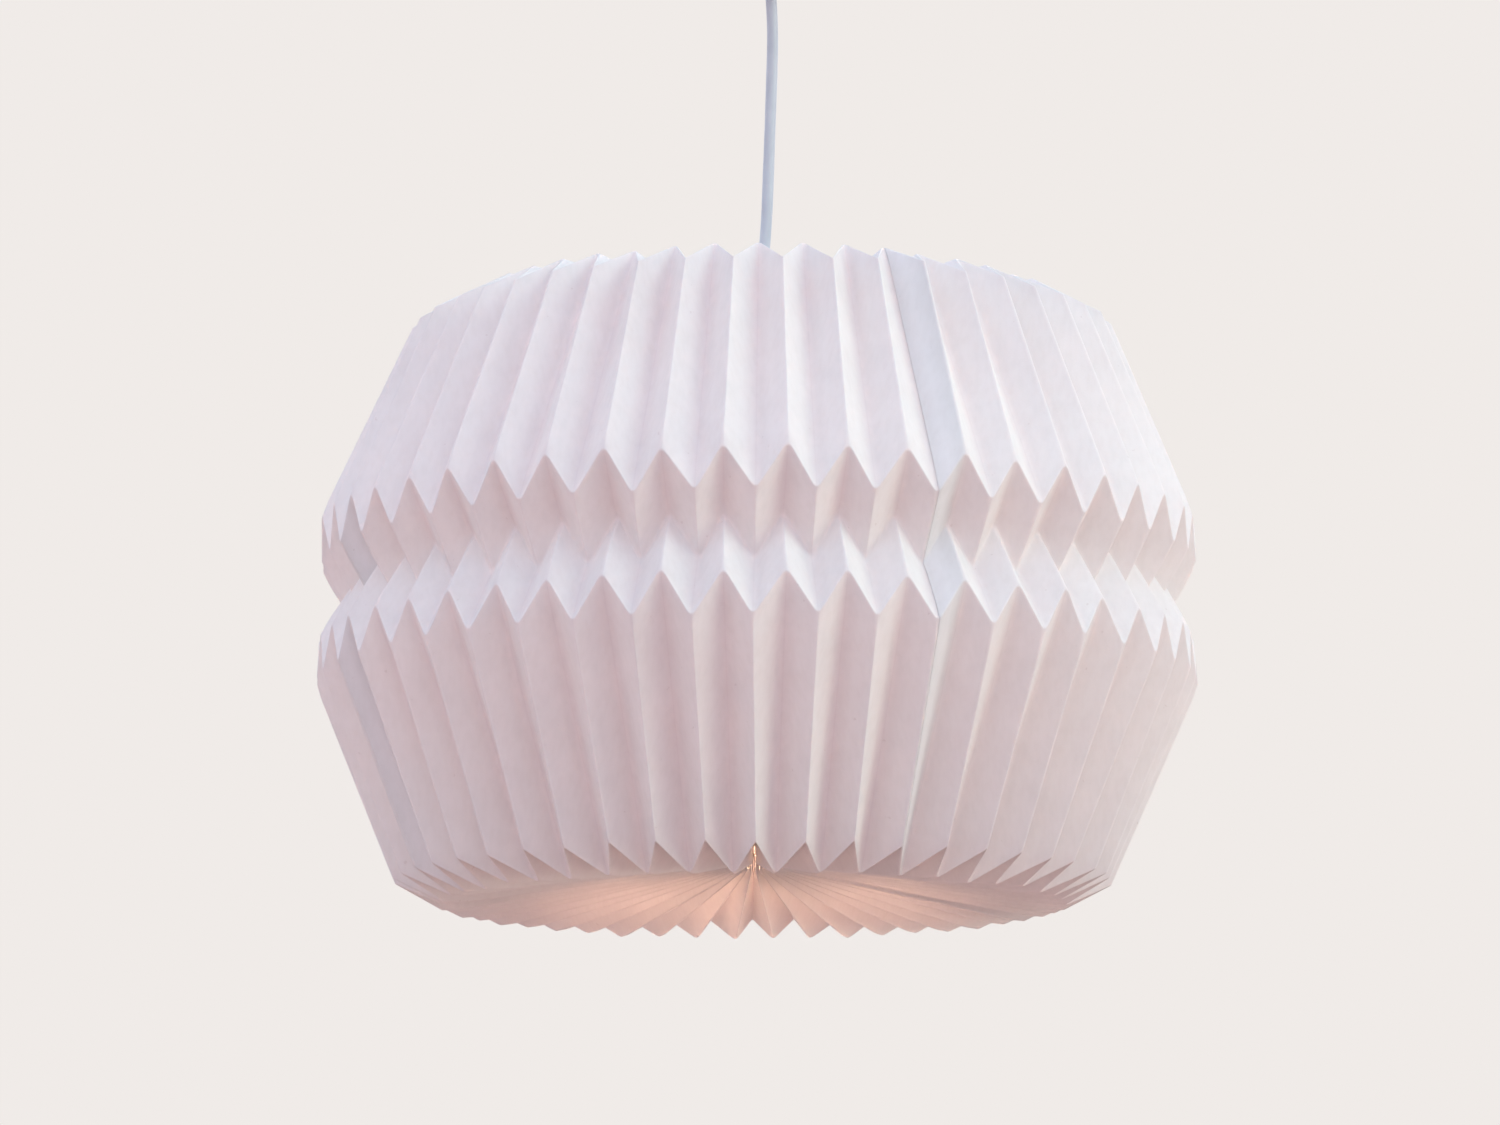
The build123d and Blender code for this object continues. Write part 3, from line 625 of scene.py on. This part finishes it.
def paper_material():
    """Matt washi-like paper: clouded, fibrous, a few specks, slightly darker along its folds."""
    material, tree = new_material("folded_paper")
    add, join = tree.nodes.new, tree.links.new
    out = add("ShaderNodeOutputMaterial")
    cloud = ramp(tree, noise(tree, 55, 6).outputs["Fac"],
                 [(0.3, (0.872, 0.870, 0.868)), (0.75, (0.915, 0.913, 0.912))])
    fibres = ramp(tree, noise(tree, 420, 5, (1, 1, 0.25)).outputs["Fac"],
                  [(0.34, (0.972, 0.970, 0.968)), (0.58, (1, 1, 1))])
    specks = ramp(tree, noise(tree, 260, 2).outputs["Fac"],
                  [(0.745, (1, 1, 1)), (0.775, (0.90, 0.885, 0.88))])
    stains = ramp(tree, noise(tree, 17, 3).outputs["Fac"],
                  [(0.30, (0.985, 0.975, 0.978)), (0.52, (1, 1, 1))])
    # A thin, slightly darker line along every fold.
    fold = add("ShaderNodeAttribute")
    fold.attribute_name = "fold"
    edge = ramp(tree, fold.outputs["Fac"], [(0.0, (0.965, 0.958, 0.962)), (0.035, (1, 1, 1))])
    # Painted shade: the paper is darker near its valley folds, where less light falls into the crease.
    valley = add("ShaderNodeAttribute")
    valley.attribute_name = "valley"
    shade = ramp(tree, valley.outputs["Fac"], [(0.0, (1, 1, 1)), (1.0, (0.93, 0.895, 0.905))])
    colour = cloud.outputs["Color"]
    for layer in (fibres, specks, stains, edge, shade):
        mixed = add("ShaderNodeMix")
        mixed.data_type = "RGBA"
        mixed.blend_type = "MULTIPLY"
        mixed.inputs["Factor"].default_value = 1
        join(colour, mixed.inputs["A"])
        join(layer.outputs["Color"], mixed.inputs["B"])
        colour = mixed.outputs["Result"]
    # Two layers look a little whiter and cooler, because less of the inside's warmth comes through.
    lap = add("ShaderNodeAttribute")
    lap.attribute_name = "lap"
    cooler = add("ShaderNodeMix")
    cooler.data_type = "RGBA"
    cooler.blend_type = "MULTIPLY"
    cooler.inputs["B"].default_value = (1.08, 1.065, 1.075, 1)
    join(lap.outputs["Fac"], cooler.inputs["Factor"])
    join(colour, cooler.inputs["A"])
    colour = cooler.outputs["Result"]
    fine = add("ShaderNodeBump")
    fine.inputs["Strength"].default_value = 0.2
    fine.inputs["Distance"].default_value = 0.15 * MM
    join(noise(tree, 1100, 4).outputs["Fac"], fine.inputs["Height"])
    wave = add("ShaderNodeBump")
    wave.inputs["Strength"].default_value = 0.22
    wave.inputs["Distance"].default_value = 2.2 * MM
    join(noise(tree, 42, 3, (1, 1, 0.5)).outputs["Fac"], wave.inputs["Height"])
    join(fine.outputs["Normal"], wave.inputs["Normal"])
    front = add("ShaderNodeBsdfPrincipled")
    front.inputs["Roughness"].default_value = 0.9
    front.inputs["Specular IOR Level"].default_value = 0.2
    join(colour, front.inputs["Base Color"])
    join(wave.outputs["Normal"], front.inputs["Normal"])
    through = add("ShaderNodeBsdfTranslucent")
    through.inputs["Color"].default_value = (0.95, 0.925, 0.915, 1)
    mix = add("ShaderNodeMixShader")
    mix.inputs["Fac"].default_value = PAPER_LIGHT_SHARE
    join(front.outputs["BSDF"], mix.inputs[1])
    join(through.outputs["BSDF"], mix.inputs[2])
    join(mix.outputs["Shader"], out.inputs["Surface"])
    return material


FINISHES = {
    "cup_lacquer": finish("cup_lacquer", (0.80, 0.79, 0.785), (0.86, 0.855, 0.85), rough=(0.30, 0.42),
                          scale=24, grain=420, grain_depth=0.09, coat=0.25),
    "zinc_plate": finish("zinc_plate", (0.50, 0.51, 0.53), (0.68, 0.69, 0.70), rough=(0.28, 0.48), metal=1.0,
                         scale=130, grain=900, stretch=(0.25, 2.5, 1), scratches=0.35),
    "zinc_screw": finish("zinc_screw", (0.56, 0.56, 0.57), (0.75, 0.75, 0.75), rough=(0.2, 0.38), metal=1.0,
                         scale=420, grain=1800, grain_depth=0.02, scratches=0.3),
    "porcelain": finish("porcelain", (0.80, 0.78, 0.74), (0.88, 0.865, 0.83), rough=(0.22, 0.34),
                        scale=110, grain=1400, grain_depth=0.02, coat=0.4),
    "holder_plastic": finish("holder_plastic", (0.76, 0.755, 0.75), (0.83, 0.825, 0.82), rough=(0.36, 0.5),
                             scale=80, grain=1500, grain_depth=0.035),
    "grip_plastic": finish("grip_plastic", (0.62, 0.62, 0.62), (0.72, 0.72, 0.72), rough=(0.5, 0.62),
                           scale=200, grain=1500, grain_depth=0.03),
    "sheath": finish("sheath", (0.50, 0.52, 0.57), (0.585, 0.605, 0.65), rough=(0.34, 0.46),
                     scale=150, grain=2200, grain_depth=0.025, stretch=(1, 1, 0.3)),
    "brown_pvc": finish("brown_pvc", (0.13, 0.055, 0.028), (0.20, 0.09, 0.045), rough=(0.35, 0.5),
                        scale=300, grain=2200, grain_depth=0.02),
    "blue_pvc": finish("blue_pvc", (0.03, 0.085, 0.25), (0.05, 0.13, 0.36), rough=(0.35, 0.5),
                       scale=300, grain=2200, grain_depth=0.02),
    "brass": finish("brass", (0.60, 0.42, 0.17), (0.80, 0.61, 0.28), rough=(0.22, 0.42), metal=1.0,
                    scale=240, grain=1500, grain_depth=0.02, scratches=0.25),
    "nickel": finish("nickel", (0.58, 0.56, 0.53), (0.76, 0.74, 0.71), rough=(0.18, 0.34), metal=1.0,
                     scale=240, grain=1500, grain_depth=0.02, scratches=0.25),
    "black_glass": finish("black_glass", (0.015, 0.015, 0.02), (0.035, 0.035, 0.045), rough=(0.08, 0.2),
                          scale=240, grain=1200, grain_depth=0.03, coat=0.5),
    "solder": finish("solder", (0.50, 0.50, 0.49), (0.70, 0.70, 0.68), rough=(0.3, 0.5), metal=1.0,
                     scale=500, grain=900, grain_depth=0.12),
    "board": finish("board", (0.045, 0.16, 0.085), (0.075, 0.24, 0.13), rough=(0.4, 0.55),
                    scale=420, grain=900, grain_depth=0.08),
    "cotton": finish("cotton", (0.78, 0.765, 0.74), (0.88, 0.87, 0.85), rough=(0.85, 0.95),
                     scale=900, grain=3200, grain_depth=0.12, specular=0.2),
    "bulb_glass": glass_material("bulb_glass_clear", (0.965, 0.97, 0.965), 0.02),
    "stem_glass": glass_material("stem_glass_clear", (0.90, 0.93, 0.92), 0.05),
    "filament": lit_filament(),
}
NODE_FINISHES = {
    "ceiling_plate": "zinc_plate", "cord_clamp": "zinc_plate", "clamp_screws": "zinc_screw",
    "canopy_cup": "cup_lacquer", "canopy_screws": "zinc_screw", "terminal_block": "porcelain",
    "terminal_screws": "brass", "flex_top": "sheath", "flex_drop": "sheath", "flex_bottom": "sheath",
    "brown_core_top": "brown_pvc", "brown_core_bottom": "brown_pvc", "blue_core_top": "blue_pvc",
    "blue_core_bottom": "blue_pvc", "holder_cap": "holder_plastic", "cord_grip": "grip_plastic",
    "holder_body": "holder_plastic", "contact_block": "porcelain", "contact_screws": "brass",
    "screw_shell": "brass", "centre_contact": "brass", "bulb_tip": "solder", "bulb_insulator": "black_glass",
    "bulb_screw_cap": "nickel", "bulb_glass": "bulb_glass", "bulb_stem": "stem_glass",
    "filament_rods": "filament", "filament_crowns": "nickel", "driver_board": "board",
    "shade_carrier": "holder_plastic", "shade_ring": "holder_plastic", "top_gather_cord": "cotton",
    "bottom_gather_cord": "cotton",
}


def dress_nodes():
    """Give every CAD piece except the paper sheets its finish."""
    for name, finish_name in NODE_FINISHES.items():
        slots = nodes[name].data.materials
        if not slots:
            slots.append(None)
        for k in range(len(slots)):
            slots[k] = FINISHES[finish_name]


dress_nodes()
paper = paper_material()
for number in range(SHEETS):
    build_sheet(number).data.materials.append(paper)
build_flex().data.materials.append(FINISHES["sheath"])
for node, name, outwards in (("top_gather_cord", "top_cord", 1), ("bottom_gather_cord", "bottom_cord", -1)):
    build_gather_cord(node, name, outwards).data.materials.append(FINISHES["cotton"])


# ---------------------------------------------------------------- light, floor and camera

# The colour that the camera sees behind the lantern.
BACKDROP = (0.871, 0.831, 0.807, 1)
# The light from all round: warm from below, cool from a little above the horizon, dimmer overhead.
GROUND = (0.54, 0.38, 0.37)
SKY = (0.95, 1.02, 1.22)
ZENITH_SHARE = 0.9
GROUND_END = 0.39
SKY_START = 0.56
# The lamps' colours carry their power in watts: each one's largest part is the power.
KEY = (19.5, 25.0, 21.0)
KEY_LOW = (11.5, 12.2, 8.4)
FILL = (3.2, 5.4, 5.4)
# The bulb: an even glow, a wide beam leaning to the underside's back, and a narrow one straight down.
GLOW = (1.8, 1.05, 0.9)
GLOW_DOWN = (31.0, 18.5, 12.5)
GLOW_CENTRE = (34.0, 17.0, 9.0)
GLOW_SOFT_R = 20.0 * MM
FLOOR_REACH = 9.0
FLOOR_HEIGHT = -1.15


def lighting():
    """Soft light from all round, which the camera doesn't see: it sees the plain backdrop."""
    world = bpy.data.worlds.new("studio")
    bpy.context.scene.world = world
    world.use_nodes = True
    tree = world.node_tree
    tree.nodes.clear()
    add, join = tree.nodes.new, tree.links.new
    out = add("ShaderNodeOutputWorld")
    seen = add("ShaderNodeBackground")
    seen.inputs["Color"].default_value = BACKDROP
    lit = add("ShaderNodeBackground")
    place = add("ShaderNodeTexCoord")
    split = add("ShaderNodeSeparateXYZ")
    join(place.outputs["Generated"], split.inputs["Vector"])
    height_ramp = add("ShaderNodeValToRGB")
    height_ramp.color_ramp.elements[0].position = GROUND_END
    height_ramp.color_ramp.elements[0].color = (*GROUND, 1)
    height_ramp.color_ramp.elements[1].position = SKY_START
    height_ramp.color_ramp.elements[1].color = (*SKY, 1)
    zenith = height_ramp.color_ramp.elements.new(1.0)
    zenith.color = (*[part * ZENITH_SHARE for part in SKY], 1)
    height = add("ShaderNodeMapRange")
    height.inputs["From Min"].default_value = -1
    join(split.outputs["Z"], height.inputs["Value"])
    join(height.outputs["Result"], height_ramp.inputs["Fac"])
    join(height_ramp.outputs["Color"], lit.inputs["Color"])
    path = add("ShaderNodeLightPath")
    mix = add("ShaderNodeMixShader")
    join(path.outputs["Is Camera Ray"], mix.inputs["Fac"])
    join(lit.outputs["Background"], mix.inputs[1])
    join(seen.outputs["Background"], mix.inputs[2])
    join(mix.outputs["Shader"], out.inputs["Surface"])


def place_light(data, colour, where, target):
    """Put a lamp in the scene, turned towards its target."""
    data.energy = max(colour)
    data.color = [part / max(colour) for part in colour]
    lamp = bpy.data.objects.new(data.name, data)
    lamp.location = where
    lamp.rotation_euler = (Vector(target) - Vector(where)).to_track_quat("-Z", "Y").to_euler()
    bpy.context.scene.collection.objects.link(lamp)
    return lamp


def area_light(name, where, target, size, colour):
    """A round soft box."""
    data = bpy.data.lights.new(name, "AREA")
    data.shape = "DISK"
    data.size = size
    place_light(data, colour, where, target)


def bulb_light():
    """Warm light from the filaments. Most of it leaves downwards, past the lampholder's shadow."""
    low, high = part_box("filament_rods")
    centre = (low + high) / 2
    glow = bpy.data.lights.new("bulb_glow", "POINT")
    glow.shadow_soft_size = GLOW_SOFT_R
    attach(place_light(glow, GLOW, centre, centre - Vector((0, 0, 1))), "bulb")
    # Each beam's name, colour, width in degrees and direction.
    beams = (("bulb_glow_down", GLOW_DOWN, 66, Vector((0, 0.22, -1))),
             ("bulb_glow_centre", GLOW_CENTRE, 26, Vector((0, 0, -1))))
    for name, colour, spread, way in beams:
        beam = bpy.data.lights.new(name, "SPOT")
        beam.shadow_soft_size = GLOW_SOFT_R
        beam.spot_size = math.radians(spread)
        beam.spot_blend = 1.0
        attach(place_light(beam, colour, centre, centre + way), "bulb")


def build_floor():
    """A pale studio floor well below the lantern. Only the camera sees it, so it throws no light."""
    mesh = bpy.data.meshes.new("floor")
    ways = ((-1, -1), (1, -1), (1, 1), (-1, 1))
    corners = [(x * FLOOR_REACH, y * FLOOR_REACH, FLOOR_HEIGHT) for x, y in ways]
    mesh.from_pydata(corners, [], [(0, 1, 2, 3)])
    floor = bpy.data.objects.new("floor", mesh)
    bpy.context.scene.collection.objects.link(floor)
    material, tree = new_material("pale_floor")
    out = tree.nodes.new("ShaderNodeOutputMaterial")
    glow = tree.nodes.new("ShaderNodeEmission")
    tone = ramp(tree, noise(tree, 0.8, 3).outputs["Fac"],
                [(0.35, (0.83, 0.79, 0.765)), (0.65, (0.86, 0.82, 0.795))])
    tree.links.new(tone.outputs["Color"], glow.inputs["Color"])
    # Seen from below, the floor is clear, so that the lantern's underside can be looked at.
    clear = tree.nodes.new("ShaderNodeBsdfTransparent")
    face = tree.nodes.new("ShaderNodeNewGeometry")
    mix = tree.nodes.new("ShaderNodeMixShader")
    tree.links.new(face.outputs["Backfacing"], mix.inputs["Fac"])
    tree.links.new(glow.outputs["Emission"], mix.inputs[1])
    tree.links.new(clear.outputs["BSDF"], mix.inputs[2])
    tree.links.new(mix.outputs["Shader"], out.inputs["Surface"])
    mesh.materials.append(material)
    floor.visible_diffuse = False
    floor.visible_glossy = False
    floor.visible_transmission = False
    floor.visible_shadow = False


lighting()
build_floor()
middle = Vector((0, 0, SHADE_MIDDLE_Z))
area_light("key", (2.2, -1.2, 1.6), middle, 1.6, KEY)
area_light("key_low", (2.75, -1.0, -0.7), middle, 1.4, KEY_LOW)
area_light("fill", (-2.0, -1.5, 2.4), middle, 1.8, FILL)
bulb_light()

# The camera stands in front of the lantern and below it, looks up, and is rolled as in the photo.
CAMERA_PLACE = (-0.0044, -2.349, SHADE_MIDDLE_Z - 0.4004)
CAMERA_PITCH = math.radians(90 + 10.23)
CAMERA_ROLL = math.radians(0.95)
SENSOR_WIDTH = 36
LENS = 113.7
camera_data = bpy.data.cameras.new("camera")
camera_data.sensor_width = SENSOR_WIDTH
camera_data.lens = LENS
camera = bpy.data.objects.new("camera", camera_data)
camera.location = CAMERA_PLACE
aim = Matrix.Rotation(CAMERA_PITCH, 3, "X") @ Matrix.Rotation(CAMERA_ROLL, 3, "Z")
camera.rotation_euler = aim.to_euler()
bpy.context.scene.collection.objects.link(camera)
bpy.context.scene.camera = camera
bpy.context.scene.view_settings.view_transform = "Standard"
